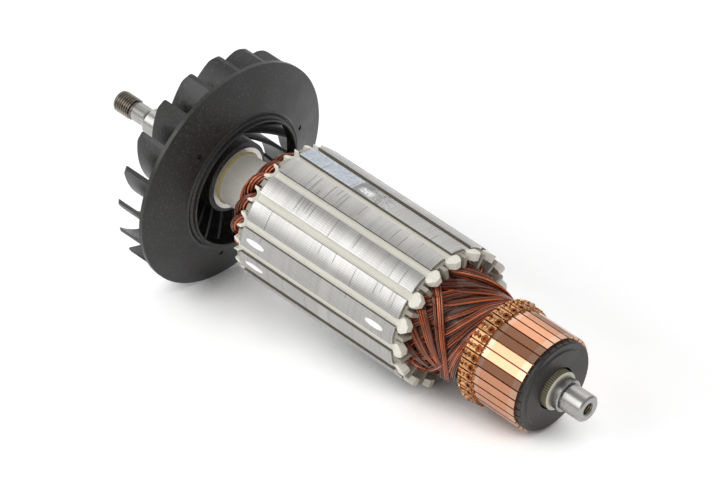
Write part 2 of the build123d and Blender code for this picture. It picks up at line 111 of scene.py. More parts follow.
class MeshMaker:
    """Gathers the vertices and faces of one piece, and makes the piece."""

    def __init__(self) -> None:
        """Starts with nothing gathered."""
        self.points: list[Vector] = []
        self.faces: list[tuple[int, ...]] = []
        self.tones: list[float] = []

    def tube(self, line: Sequence[Vector], radius: float, sides: int, tone: float = 0.0) -> None:
        """Adds a round wire along a line.

        Args:
            line: centre line, in metres.
            radius: radius of the wire, in mm.
            sides: sides of its cross section.
            tone: shade from 0 to 1 that the finish reads.
        """
        start = len(self.points)
        count = len(line)
        lift: Optional[Vector] = None
        for k in range(count):
            ahead = (line[min(k + 1, count - 1)] - line[max(k - 1, 0)]).normalized()
            if lift is None:
                lift = ahead.orthogonal().normalized()
            lift = (lift - ahead * lift.dot(ahead)).normalized()
            across = ahead.cross(lift)
            for j in range(sides):
                turn = 2 * math.pi * j / sides
                spoke = lift * math.cos(turn) + across * math.sin(turn)
                self.points.append(line[k] + spoke * radius * MM)
                self.tones.append(tone)
        for k in range(count - 1):
            for j in range(sides):
                a = start + k * sides + j
                b = start + k * sides + (j + 1) % sides
                self.faces.append((a, b, b + sides, a + sides))
        last = start + (count - 1) * sides
        self.faces.append(tuple(range(start + sides - 1, start - 1, -1)))
        self.faces.append(tuple(range(last, last + sides)))

    def lathe(self, outline: Sequence[tuple[float, float]], steps: int) -> None:
        """Adds a solid of revolution about the axis.

        Args:
            outline: closed outline of (along, radius) points, in mm.
            steps: pieces round the axis.
        """
        start = len(self.points)
        count = len(outline)
        for k in range(steps):
            for along, radius in outline:
                self.points.append(polar(along, radius, k * 360.0 / steps))
                self.tones.append(0.0)
        for k in range(steps):
            near, far = start + k * count, start + ((k + 1) % steps) * count
            for j in range(count):
                i = (j + 1) % count
                if outline[j][1] > 0 or outline[i][1] > 0:
                    self.faces.append((near + j, near + i, far + i, far + j))

    def grid(self, rows: Sequence[Sequence[Vector]], wrap: bool = False) -> None:
        """Adds a sheet through rows of points.

        Args:
            rows: rows with equal numbers of points, in metres.
            wrap: whether each row closes on itself.
        """
        start = len(self.points)
        width = len(rows[0])
        for row in rows:
            self.points.extend(row)
            self.tones.extend([0.0] * width)
        for k in range(len(rows) - 1):
            for j in range(width if wrap else width - 1):
                a = start + k * width + j
                b = start + k * width + (j + 1) % width
                self.faces.append((a, b, b + width, a + width))

    def lump(self, place: Vector, axes: Sequence[Vector], rng: random.Random) -> None:
        """Adds a small uneven drop of metal.

        Args:
            place: its middle, in metres.
            axes: its three half axes, in metres.
            rng: source of its unevenness.
        """
        rings, sides, uneven = 4, 8, 0.16
        rows = []
        for k in range(1, rings):
            tilt = math.pi * k / rings
            row = []
            for j in range(sides):
                turn = 2 * math.pi * j / sides
                size = 1.0 + rng.uniform(-uneven, uneven)
                spoke = axes[0] * (math.sin(tilt) * math.cos(turn))
                spoke = spoke + axes[1] * (math.sin(tilt) * math.sin(turn)) + axes[2] * math.cos(tilt)
                row.append(place + spoke * size)
            rows.append(row)
        tips = ([place + axes[2]] * sides, [place - axes[2]] * sides)
        self.grid([tips[0], *rows, tips[1]], wrap=True)

    def make(self, name: str, finish: "Finish", sharp: float = 40.0) -> bpy.types.Object:
        """Makes the piece, which rides on the rotor.

        Args:
            name: name of the piece.
            finish: what it is made of.
            sharp: edges sharper than this angle in degrees stay hard.

        Returns:
            The new object.
        """
        mesh = bpy.data.meshes.new(name)
        mesh.from_pydata(self.points, [], self.faces)
        mesh.validate()
        tones = mesh.attributes.new("tone", "FLOAT", "POINT")
        tones.data.foreach_set("value", self.tones)
        mesh.materials.append(finish.material())
        mesh.shade_smooth()
        piece = put(name, mesh)
        mesh.set_sharp_from_angle(angle=math.radians(sharp))
        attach(piece, "root")
        LOG.info("%s: %d faces", name, len(mesh.polygons))
        return piece


class Value:
    """Number or colour that a node gives, with the usual arithmetic."""

    def __init__(self, nodes: "Nodes", socket: bpy.types.NodeSocket) -> None:
        """Keeps a node's output.

        Args:
            nodes: the node tree that the node is in.
            socket: the output.
        """
        self.nodes = nodes
        self.socket = socket

    def __add__(self, other: "Number") -> "Value":
        """Sum of two numbers."""
        return self.nodes.math("ADD", self, other)

    def __sub__(self, other: "Number") -> "Value":
        """Difference of two numbers."""
        return self.nodes.math("SUBTRACT", self, other)

    def __mul__(self, other: "Number") -> "Value":
        """Product of two numbers."""
        return self.nodes.math("MULTIPLY", self, other)

    def __truediv__(self, other: "Number") -> "Value":
        """Quotient of two numbers."""
        return self.nodes.math("DIVIDE", self, other)


Number = Union[float, Value]
Tint = Union[Colour, Value]


def dim(colour: Colour, share: float) -> Colour:
    """Colour with a share of its brightness."""
    return tuple(part * share for part in colour)


class Nodes:
    """Node tree with short ways to add, feed and link its nodes."""

    def __init__(self, tree: bpy.types.NodeTree) -> None:
        """Keeps the tree that the nodes go into."""
        self.tree = tree

    def feed(self, socket: bpy.types.NodeSocket, value: object) -> None:
        """Links an input to what feeds it, or sets its value.

        Args:
            socket: the input.
            value: a value from a node, a number or a colour.
        """
        if isinstance(value, Value):
            self.tree.links.new(value.socket, socket)
        elif isinstance(value, tuple) and socket.type == "RGBA":
            socket.default_value = (*value, 1.0)
        else:
            socket.default_value = value

    def get(self, kind: str, inputs: dict[Union[int, str], object], output: Union[int, str] = 0,
            **settings: object) -> Value:
        """Adds a node and gives what comes out of it.

        Args:
            kind: type of the node.
            inputs: what feeds its inputs, by their names or numbers.
            output: name or number of the output.
            settings: properties of the node to set.

        Returns:
            The output.
        """
        node = self.tree.nodes.new("ShaderNode" + kind)
        for key, setting in settings.items():
            setattr(node, key, setting)
        for key, value in inputs.items():
            self.feed(node.inputs[key], value)
        return Value(self, node.outputs[output])

    def math(self, operation: str, a: Number, b: Number = 0.0) -> Value:
        """Arithmetic on one or two numbers.

        Args:
            operation: name of the operation.
            a: first number.
            b: second number.

        Returns:
            The result.
        """
        return self.get("Math", {0: a, 1: b}, operation=operation)

    def ray(self, *kinds: str) -> Value:
        """1 for a ray of one of some kinds, and 0 for any other.

        Args:
            kinds: names of the kinds of ray.

        Returns:
            The share.
        """
        found = [self.get("LightPath", {}, f"Is {kind} Ray") for kind in kinds]
        share = found.pop()
        while found:
            share = self.math("MAXIMUM", found.pop(), share)
        return share


class Shader(Nodes):
    """Node tree of one finish, with the rotor's own coordinates in mm."""

    def __init__(self, name: str, tint: Tint) -> None:
        """Makes a new material with its main shader.

        Args:
            name: name of the material.
            tint: colour that the layers are painted on.
        """
        self.material = bpy.data.materials.new(name)
        self.material.use_nodes = True
        super().__init__(self.material.node_tree)
        self.surface = self.tree.nodes["Principled BSDF"]
        self.normal: Optional[Value] = None
        self.tint = tint

    @cached_property
    def position(self) -> Value:
        """Point of the surface in the rotor's frame, in mm."""
        place = self.get("TexCoord", {}, "Object")
        return self.get("VectorMath", {0: place, "Scale": 1 / MM}, operation="SCALE")

    @cached_property
    def radius(self) -> Value:
        """Distance from the axis, in mm."""
        return self.length(self.place(Axis.Y), self.place(Axis.Z))

    @cached_property
    def angle(self) -> Value:
        """Angle round the axis from up towards +Y, in degrees."""
        return self.math("ARCTAN2", self.place(Axis.Y), self.place(Axis.Z)) * (180 / math.pi)

    def place(self, axis: Axis) -> Value:
        """Coordinate along one axis of the rotor's frame, in mm."""
        return self.get("SeparateXYZ", {0: self.position}, axis.value)

    def length(self, *sides: Value) -> Value:
        """Length of a straight line.

        Args:
            sides: how far it goes in each direction.

        Returns:
            The length.
        """
        square = sides[0] * sides[0]
        for side in sides[1:]:
            square = square + side * side
        return self.math("SQRT", square)

    def tone(self) -> Value:
        """Shade that a piece's mesh holds, from 0 to 1."""
        return self.get("Attribute", {}, "Fac", attribute_name="tone")

    def vector(self, x: Number, y: Number, z: Number) -> Value:
        """Vector of three numbers."""
        return self.get("CombineXYZ", {0: x, 1: y, 2: z})

    def noise(self, scale: float, detail: float = 2.0, where: Optional[Value] = None) -> Value:
        """Noise between 0 and 1.

        Args:
            scale: how many lumps there are in a mm.
            detail: how many finer layers it has.
            where: coordinates in mm, or the surface's own.

        Returns:
            The noise.
        """
        return self.get("TexNoise", {"Vector": where or self.position, "Scale": scale, "Detail": detail})

    def wave(self, value: Value, pitch: float) -> Value:
        """Even wave from 0 at each pitch to 0.5 halfway to the next."""
        return self.math("PINGPONG", value / pitch, 0.5)

    def span(self, value: Number, low: float, high: float, first: float = 0.0, last: float = 1.0) -> Value:
        """Number brought smoothly from one span to another.

        Args:
            value: the number.
            low: where the first span starts.
            high: where the first span ends.
            first: result at low.
            last: result at high.

        Returns:
            The result, which stays in the second span.
        """
        return self.get("MapRange", dict(enumerate((value, low, high, first, last))),
                        interpolation_type="SMOOTHSTEP")

    def fall(self, value: Number, low: float, high: float) -> Value:
        """1 up to a low number and 0 from a high one on."""
        return self.span(value, low, high, 1.0, 0.0)

    def band(self, value: Number, low: float, high: float, soft: float) -> Value:
        """1 inside a span of a number and 0 outside it.

        Args:
            value: the number.
            low: where the span starts.
            high: where the span ends.
            soft: width of the change at both ends.

        Returns:
            The share.
        """
        return self.span(value, low - soft, low + soft) * self.fall(value, high - soft, high + soft)

    def mix(self, share: Number, a: Tint, b: Tint) -> Value:
        """Colour between two colours.

        Args:
            share: how much of the second colour there is.
            a: first colour.
            b: second colour.

        Returns:
            The mixed colour.
        """
        return self.get("Mix", {"Factor": share, 6: a, 7: b}, 2, data_type="RGBA")

    def paint(self, share: Number, colour: Tint) -> None:
        """Paints a layer over the colour so far.

        Args:
            share: how much the layer covers.
            colour: colour of the layer.
        """
        self.tint = self.mix(share, self.tint, colour)

    def bump(self, height: Number, depth: float, strength: float = 1.0) -> None:
        """Adds relief to the surface.

        Args:
            height: height from 0 to 1.
            depth: height of the relief, in mm.
            strength: how strongly it shows.
        """
        inputs = {"Height": height, "Distance": depth * MM, "Strength": strength}
        if self.normal is not None:
            inputs["Normal"] = self.normal
        self.normal = self.get("Bump", inputs)

    def set(self, **inputs: Union[Number, Tint]) -> None:
        """Feeds inputs of the surface.

        Args:
            inputs: what feeds each, with a line for each space in its name.
        """
        for key, value in inputs.items():
            self.feed(self.surface.inputs[key.replace("_", " ")], value)

    def finished(self) -> bpy.types.Material:
        """Gives the surface its painted colour and its relief.

        Returns:
            The material.
        """
        self.set(Base_Color=self.tint)
        if self.normal is not None:
            self.set(Normal=self.normal)
        return self.material


@dataclass(frozen=True)
class Finish:
    """What a piece is made of."""

    name: str
    slot: str
    colour: Colour
    roughness: float

    @cached_property
    def shader(self) -> Shader:
        """Node tree of the finish."""
        return Shader(self.name, self.colour)

    def material(self) -> bpy.types.Material:
        """Makes the finish as a material, once for all its pieces.

        Returns:
            The material.
        """
        known = bpy.data.materials.get(self.name)
        if known is not None:
            return known
        self.build()
        return self.shader.finished()

    def build(self) -> None:
        """Adds the nodes of the finish."""
        self.shader.set(Roughness=self.roughness)

    def rough(self, value: Value, more: float, low: float = 0.3, high: float = 0.7) -> Value:
        """Roughness that grows with a number.

        Args:
            value: the number.
            more: how much rougher it gets.
            low: number up to which it has the finish's own roughness.
            high: number from which on it is roughest.

        Returns:
            The roughness.
        """
        return self.shader.span(value, low, high, self.roughness, self.roughness + more)


@dataclass(frozen=True)
class TurnedMetal(Finish):
    """Metal turned on a lathe, with fine rings round the axis."""

    ring: float = 0.16
    depth: float = 0.003
    smear_colour: Colour = (0.32, 0.3, 0.28)

    def build(self) -> None:
        """Adds the nodes of the finish."""
        shader = self.shader
        rings = shader.noise(1 / self.ring, 3.0, shader.vector(shader.place(Axis.X), shader.radius, 0.0))
        smear = shader.noise(0.3)
        shader.paint(shader.span(smear, 0.4, 0.7, 0.0, 0.12), self.smear_colour)
        shader.bump(rings, self.depth)
        rough = self.rough(smear, 0.05, 0.3, 0.75)
        shader.set(Roughness=rough + rings * 0.06, Metallic=1.0)


@dataclass(frozen=True)
class ShaftSteel(TurnedMetal):
    """Turned shaft: bright seats, painted shade in the thread roots, and a tapped hole at its end with
    painted shade and painted highlights on its thread flanks.
    """

    hole_radius: float = 2.35
    hole_pitch: float = 0.8
    hole_shade_and_highlight: tuple[Colour, Colour] = ((0.05, 0.042, 0.03), (0.5, 0.44, 0.33))
    thread_start: float = 204.8
    thread_root: float = 3.75
    thread_colour: Colour = (0.34, 0.27, 0.19)
    root_shade_colour: Colour = (0.12, 0.1, 0.085)
    groove: tuple[float, float] = (-0.02, 0.6)
    groove_radius: float = 4.75
    dirt: Colour = (0.06, 0.055, 0.05)

    def build(self) -> None:
        """Adds the nodes of the finish."""
        shader = self.shader
        x, r = shader.place(Axis.X), shader.radius
        hole = shader.fall(r, self.hole_radius - 0.1, self.hole_radius)
        flank = shader.math("PINGPONG", x / self.hole_pitch + shader.angle / 360.0, 0.5)
        start, end = self.thread_start, self.thread_start + 0.2
        root = shader.span(x, start, end) * shader.fall(r, self.thread_root - 0.25, self.thread_root + 0.1)
        groove = shader.band(x, *self.groove, 0.03)
        groove = groove * shader.fall(r, self.groove_radius, self.groove_radius + 0.2)
        # Painted shade and painted highlights: the tapped hole is painted dark, with its thread flanks
        # painted in a lit colour.
        shader.paint(hole, shader.mix(shader.span(flank, 0.1, 0.3), *self.hole_shade_and_highlight))
        shader.paint(shader.span(x, start, end, 0.0, 0.55), self.thread_colour)
        # Painted shade: the thread roots are painted dark.
        shader.paint(root * 0.85, self.root_shade_colour)
        shader.paint(groove * shader.span(shader.noise(1.6, 3.0), 0.42, 0.55), self.dirt)
        super().build()
        shader.bump(hole * flank, 0.4)


@dataclass(frozen=True)
class SheetEdges(Finish):
    """Edges of the core's thin steel sheets, turned smooth, scratched and partly ground."""

    sheet: float = 0.5
    comb: float = 0.83
    radius: float = 25.9
    slots: int = 16
    first_slot: float = 5.3
    slot_half: float = 1.5
    slot_shade_colour: Colour = (0.2, 0.185, 0.165)
    groove_colour: Colour = (0.2, 0.19, 0.18)
    pale_ring: tuple[float, float] = (87.5, 91.5)
    pale_colour: Colour = (0.7, 0.7, 0.68)
    tooth_half: float = 8.5
    strip_angle: float = -5.95
    strip_start: float = 104.0
    strip_shades: tuple[Colour, Colour] = ((0.46, 0.5, 0.555), (0.58, 0.615, 0.66))
    patch_start: float = 88.5
    patch_colour: Colour = (0.2, 0.2, 0.21)
    painted_shade_colour: Colour = (0.16, 0.165, 0.175)
    painted_highlight_colour: Colour = (0.95, 0.95, 0.94)
    cut_highlight_colour: Colour = (1.0, 1.0, 0.99)
    scratch_colour: Colour = (0.13, 0.125, 0.12)
    scratches: tuple[tuple[float, float, float], ...] = (
        (114.1, 10.0, 44.0), (110.8, 20.0, 40.0), (107.7, 8.0, 43.0), (105.0, -8.0, 16.0),
        (102.8, 4.0, 30.0), (93.7, -12.0, 20.0), (73.3, 12.0, 36.0), (68.6, 28.0, 60.0), (67.3, -6.0, 14.0),
        (120.4, 52.0, 80.0), (98.0, 96.0, 118.0), (80.5, 55.0, 79.0), (116.5, 10.0, 30.0),
        (112.6, 28.0, 44.0), (109.2, 30.0, 42.0), (101.2, 10.0, 26.0), (97.0, 30.0, 62.0),
        (90.2, 50.0, 62.0), (86.4, 30.0, 44.0), (77.6, 10.0, 22.0), (70.8, 50.0, 64.0), (63.9, 34.0, 62.0),
        (62.1, 52.0, 66.0), (118.0, -8.0, 6.0))

    def scratched(self) -> Value:
        """Fine scratches round the core, each as long as it is on the real one.

        Returns:
            Share of the scratches.
        """
        shader = self.shader
        x, turn = shader.place(Axis.X), shader.angle
        total: Optional[Value] = None
        for place, start, end in self.scratches:
            off = shader.math("ABSOLUTE", x + (turn - start) * 0.012 - place)
            line = shader.fall(off, 0.08, 0.2) * shader.band(turn, start, end, 2.0)
            total = line if total is None else shader.math("MAXIMUM", total, line)
        return total

    def milled(self) -> Value:
        """Paints the tooth with the milled strip, a band of painted shade and a painted highlight just
        before it, and the balance cuts, whose bare steel is painted brighter as a painted highlight.

        Returns:
            Share of the balance cuts.
        """
        shader = self.shader
        x, r, turn = shader.place(Axis.X), shader.radius, shader.angle
        angle, start = self.strip_angle, self.strip_start
        speck = shader.noise(1.3, 3.0)
        tooth = shader.band(turn, angle - self.tooth_half, angle + self.tooth_half, 0.3)
        patch = tooth * shader.band(x, self.patch_start, start, 1.5)
        shader.paint(patch * shader.span(speck, 0.46, 0.6, 0.0, 0.7), self.patch_colour)
        # Painted shade: a dark band on the tooth just before the milled strip.
        shader.paint(tooth * shader.band(x, start - 6.0, start, 1.2) * 0.6, self.painted_shade_colour)
        # Painted highlight: a bright speckled spot on that band.
        painted_highlight = shader.band(turn, angle - 1.0, angle + 5.5, 2.0)
        painted_highlight = painted_highlight * shader.band(x, start - 7.5, start - 2.5, 1.6)
        shader.paint(painted_highlight * shader.span(speck, 0.35, 0.6, 0.2, 1.0), self.painted_highlight_colour)
        strip = tooth * shader.span(x, start - 0.1, start + 0.1)
        above = shader.fall(r, self.radius - 0.09, self.radius - 0.03)
        cut = above * shader.span(r, self.radius - 0.6, self.radius - 0.45)
        milled = shader.mix(shader.span(shader.noise(0.9, 4.0), 0.35, 0.65), *self.strip_shades)
        # The balance cuts are bare milled steel, painted white as a painted highlight.
        shader.paint(shader.math("MAXIMUM", strip, cut), shader.mix(strip, self.cut_highlight_colour, milled))
        return cut

    def slot_wall_shade(self) -> Value:
        """Painted shade on the walls of the slots, below the turned surface.

        Returns:
            Share of the painted shade.
        """
        shader = self.shader
        pitch = 360.0 / self.slots
        shift = (shader.angle - self.first_slot) / pitch + 0.5
        off = shader.math("ABSOLUTE", shader.math("FRACT", shift) - 0.5)
        beside = off * math.radians(pitch) * shader.radius
        inside = shader.fall(beside, self.slot_half + 0.05, self.slot_half + 0.12)
        return inside * shader.fall(shader.radius, self.radius - 0.12, self.radius - 0.04)

    def build(self) -> None:
        """Adds the nodes of the finish."""
        shader = self.shader
        x = shader.place(Axis.X)
        arc = shader.angle * (math.radians(1.0) * self.radius)
        groove = shader.span(shader.wave(x, self.sheet), 0.08, 0.3)
        pairs = shader.span(shader.wave(x, 2 * self.sheet), 0.1, 0.4)
        comb = shader.span(shader.wave(arc, self.comb), 0.08, 0.42)
        sheets = shader.noise(1.7, 2.0, shader.vector(x, arc * 0.02, 0.0))
        broad = shader.noise(0.09, 3.0, shader.vector(x, arc * 0.5, 0.0))
        brushed = shader.noise(1.55, 1.0, shader.vector(x * 0.012, arc, 0.0)) * 0.6 + comb * 0.4
        shader.tint = dim(self.colour, 0.84)
        shader.paint(shader.span(sheets, 0.35, 0.6), self.colour)
        shader.paint(shader.span(brushed, 0.25, 0.75, 0.0, 0.3), dim(self.colour, 0.5))
        shader.paint(comb * pairs * 0.13, dim(self.colour, 0.4))
        shader.paint(shader.span(broad, 0.35, 0.7, 0.0, 0.3), dim(self.colour, 0.72))
        shader.paint(shader.band(x, *self.pale_ring, 0.4) * 0.3, self.pale_colour)
        shader.tint = shader.mix(shader.span(groove, 0.0, 1.0, 0.3, 1.0), self.groove_colour, shader.tint)
        cut = self.milled()
        scratch = self.scratched()
        shader.paint(scratch * 0.6, self.scratch_colour)
        # Painted shade: the slot walls below the turned surface are painted dark.
        shader.paint(self.slot_wall_shade(), self.slot_shade_colour)
        for height, depth, strength in ((groove, 0.012, 0.7), (sheets, 0.003, 0.5), (brushed, 0.006, 0.8),
                                        (scratch * -1.0, 0.03, 0.8)):
            shader.bump(height, depth, strength)
        shader.set(Roughness=self.rough(broad, 0.06) + cut * 0.2, Metallic=1.0)


@dataclass(frozen=True)
class CastPlastic(Finish):
    """Moulded plastic with a fine grain, soft flow marks and pale specks."""

    grain: float = 2.6
    depth: float = 0.03
    speck: float = 0.45
    flow: float = 0.09
    dust: Colour = (0.3, 0.29, 0.27)

    def build(self) -> None:
        """Adds the nodes of the finish."""
        shader = self.shader
        fine, broad = shader.noise(self.grain, 3.0), shader.noise(self.flow, 3.0)
        light = tuple(min(1.0, part * 2.4 + 0.012) for part in self.colour)
        shader.paint(shader.span(fine, 0.48, 0.72, 0.0, self.speck), light)
        shader.paint(shader.span(broad, 0.4, 0.7, 0.0, 0.35), dim(self.colour, 0.7))
        shader.paint(shader.span(shader.noise(1.1, 1.0), 0.76, 0.8, 0.0, 0.35), self.dust)
        rough = shader.span(fine, 0.3, 0.7, self.roughness - 0.04, self.roughness + 0.06)
        shader.bump(fine, self.depth, 0.6)
        shader.set(Roughness=rough + shader.span(broad, 0.35, 0.65, -0.04, 0.04))


@dataclass(frozen=True)
class CommutatorMoulding(CastPlastic):
    """Moulded hub of the commutator, with copper dust in the cuts between the bars and painted copper bounce
    light there.
    """

    bars_start: float = 8.9
    copper_dust_and_bounce: Colour = (0.75, 0.2, 0.06)

    def build(self) -> None:
        """Adds the nodes of the finish."""
        shader = self.shader
        super().build()
        worn = shader.span(shader.place(Axis.X), self.bars_start - 0.1, self.bars_start + 0.3)
        # Partly copper dust, partly painted bounce light: the moulding between the bars is painted
        # copper-red.
        shader.paint(worn * 0.8, self.copper_dust_and_bounce)


@dataclass(frozen=True)
class PressedFibre(Finish):
    """Smooth pressed fibre board with faint long streaks."""

    dirt: Colour = (0.35, 0.31, 0.22)

    def build(self) -> None:
        """Adds the nodes of the finish."""
        shader = self.shader
        x, y, z = (shader.place(axis) for axis in Axis)
        streak = shader.noise(1.4, 3.0, shader.vector(x * 0.08, y, z))
        shader.paint(shader.span(streak, 0.35, 0.75, 0.0, 0.35), dim(self.colour, 0.78))
        shader.paint(shader.span(shader.noise(0.7, 4.0), 0.6, 0.8, 0.0, 0.3), self.dirt)
        shader.bump(streak, 0.02, 0.5)
        shader.set(Roughness=self.rough(streak, 0.15))


@dataclass(frozen=True)
class Varnish(Finish):
    """Varnish that has run between the wires: grey-brown, mottled darker, with painted shade near the core.
    """

    dark: Colour = (0.035, 0.018, 0.012)
    core_start: float = 57.65
    core_end: float = 128.52

    def build(self) -> None:
        """Adds the nodes of the finish."""
        shader = self.shader
        x = shader.place(Axis.X)
        lump, fine = shader.noise(0.35, 3.0), shader.noise(1.6)
        before = shader.span(x, self.core_start - 12.0, self.core_start - 4.0)
        before = before * shader.fall(x, self.core_end - 1.0, self.core_end)
        near = shader.math("MAXIMUM", before, shader.span(x, self.core_end - 1.0, self.core_end))
        shade = shader.math("MAXIMUM", near, shader.span(lump, 0.45, 0.65, 0.0, 0.7))
        # Painted shade near the core, together with darker mottling of the varnish.
        shader.paint(shade * 0.9, self.dark)
        shader.bump(lump, 0.4, 0.7)
        shader.bump(fine, 0.08, 0.6)
        shader.set(Roughness=self.rough(fine, 0.2))


@dataclass(frozen=True)
class EnamelledWire(Finish):
    """Copper wire under red-brown enamel, with dull varnish over parts of it."""

    bright: Colour = (0.76, 0.175, 0.05)
    varnish: Colour = (0.19, 0.085, 0.058)

    def build(self) -> None:
        """Adds the nodes of the finish."""
        shader = self.shader
        fine = shader.noise(1.5, 3.0)
        dull = shader.span(shader.noise(0.14, 4.0), 0.5, 0.66)
        shader.paint(shader.tone(), self.bright)
        shader.paint(dull * 0.55, self.varnish)
        shader.paint(shader.span(fine, 0.58, 0.8, 0.0, 0.3), dim(self.colour, 0.4))
        shader.bump(fine, 0.03, 0.5)
        shader.set(Roughness=self.rough(dull, 0.28, 0.0, 1.0), Metallic=0.35,
                             Coat_Weight=0.5, Coat_Roughness=0.07)


@dataclass(frozen=True)
class TurnedCopper(Finish):
    """Copper of the commutator: brush-worn track, risers stained by fusing, and painted shade in the risers'
    slots.
    """

    track: tuple[float, float] = (11.6, 25.1)
    track_colour: Colour = (0.645, 0.3, 0.172)
    cloud_colour: Colour = (0.5, 0.22, 0.12)
    edge_colour: Colour = (0.5, 0.2, 0.06)
    riser: float = 27.47
    riser_radius: float = 18.9
    riser_roughness: float = 0.34
    stain_colour: Colour = (0.68, 0.335, 0.125)
    slot_shade_colour: Colour = (0.05, 0.014, 0.006)
    pit_place: float = 28.62
    pit_colour: Colour = (0.2, 0.042, 0.01)
    bar_pitch: float = 11.25
    bar_gap: float = 5.7
    radius: float = 18.04
    flatness: float = 0.75

    def pit(self, off: Value) -> Value:
        """Share of the pits that fusing has left in the risers.

        Args:
            off: place across the bar, from -0.5 to 0.5.

        Returns:
            The share.
        """
        shader = self.shader
        ahead = shader.place(Axis.X) - self.pit_place
        far = shader.length(ahead, off * (math.radians(self.bar_pitch) * self.riser_radius))
        uneven = far + shader.span(shader.noise(1.5), 0.3, 0.7, -0.14, 0.14)
        outer = shader.span(shader.radius, self.riser_radius - 0.6, self.riser_radius - 0.5)
        return shader.fall(uneven, 1.05, 1.45) * outer

    def worn_track(self, own: Value) -> Value:
        """Paints the track that the brushes run on.

        Args:
            own: a number from 0 to 1 that each bar has of its own.

        Returns:
            Share of the track.
        """
        shader = self.shader
        worn = shader.band(shader.place(Axis.X), *self.track, 0.15)
        used = shader.mix(own, self.track_colour, dim(self.track_colour, 0.86))
        used = shader.mix(shader.span(shader.noise(0.5, 3.0), 0.4, 0.7, 0.0, 0.3), used, self.cloud_colour)
        shader.paint(worn * 0.85, used)
        return worn

    def build(self) -> None:
        """Adds the nodes of the finish."""
        shader = self.shader
        x, r = shader.place(Axis.X), shader.radius
        bar = (shader.angle - self.bar_gap) / self.bar_pitch
        step = shader.math("FLOOR", bar)
        off = bar - step - 0.5
        side = shader.math("ABSOLUTE", off)
        arc = math.radians(self.bar_pitch) * self.radius
        own = shader.get("TexWhiteNoise", {"W": step}, "Value", noise_dimensions="1D")
        shader.paint(own, dim(self.colour, 0.84))
        worn = self.worn_track(own)
        shader.paint(shader.span(side, 0.4, 0.47) * 0.45, self.edge_colour)
        stain = shader.noise(0.9, 4.0)
        joint = shader.span(x, self.riser - 0.45, self.riser - 0.1)
        shader.paint(joint * shader.span(stain, 0.38, 0.6, 0.4, 1.0), self.stain_colour)
        # Painted shade: the risers' slots are painted nearly black.
        slot = joint * shader.fall(r, self.riser_radius - 0.35, self.riser_radius - 0.12)
        slot = slot * shader.span(x, self.riser + 1.4, self.riser + 2.0)
        shader.paint(slot * 0.9, self.slot_shade_colour)
        pit = self.pit(off)
        shader.paint(pit * 0.93, self.pit_colour)
        rings = shader.noise(6.0, 3.0, shader.vector(x, r, 0.0))
        rough = rings * 0.06 + shader.span(joint, 0.0, 1.0, self.roughness, self.riser_roughness)
        shader.bump(off * off * (self.flatness * arc * arc / (2 * self.radius)), 1.0)
        shader.bump(shader.fall(side, 0.43, 0.49), 0.07)
        shader.bump(rings, 0.003, 0.7)
        shader.bump(stain * joint, 0.16, 0.8)
        shader.bump(pit * -1.0, 0.5, 0.8)
        shader.set(Roughness=rough - worn * 0.04, Metallic=1.0)


@dataclass(frozen=True)
class FusedJoint(Finish):
    """Wire ends fused into the risers: lumpy, bright in spots and burnt in the hollows."""

    spot_colour: Colour = (0.6, 0.24, 0.08)
    burnt: Colour = (0.16, 0.05, 0.018)

    def build(self) -> None:
        """Adds the nodes of the finish."""
        shader = self.shader
        lump = shader.noise(1.0)
        shader.paint(shader.span(shader.noise(0.7, 3.0), 0.42, 0.58), self.spot_colour)
        shader.paint(shader.span(lump, 0.48, 0.62, 0.0, 0.85), self.burnt)
        shader.bump(lump, 0.12, 0.8)
        shader.set(Roughness=self.rough(lump, 0.25, 0.35), Metallic=0.9)


@dataclass(frozen=True)
class TubeFibre(Finish):
    """Insulating tube with a pale cut end and painted shade in its flutes."""

    flutes: int = 52
    end: float = 4.11
    cream: Colour = (0.78, 0.75, 0.62)
    flute_shade_colour: Colour = (0.1, 0.085, 0.05)
    mottle_colour: Colour = (0.16, 0.14, 0.09)

    def build(self) -> None:
        """Adds the nodes of the finish."""
        shader = self.shader
        wave = shader.math("PINGPONG", shader.angle * (self.flutes / 360.0), 0.5)
        mottle = shader.noise(2.0, 3.0)
        # Painted shade: the flutes are painted dark between the lighter ribs.
        shader.tint = shader.mix(shader.span(wave, 0.1, 0.32), self.flute_shade_colour, self.colour)
        shader.paint(shader.span(mottle, 0.45, 0.7, 0.0, 0.4), self.mottle_colour)
        shader.paint(shader.fall(shader.place(Axis.X), self.end + 0.12, self.end + 0.3), self.cream)
        shader.bump(mottle, 0.04, 0.5)
        shader.set(Roughness=self.rough(mottle, 0.15))


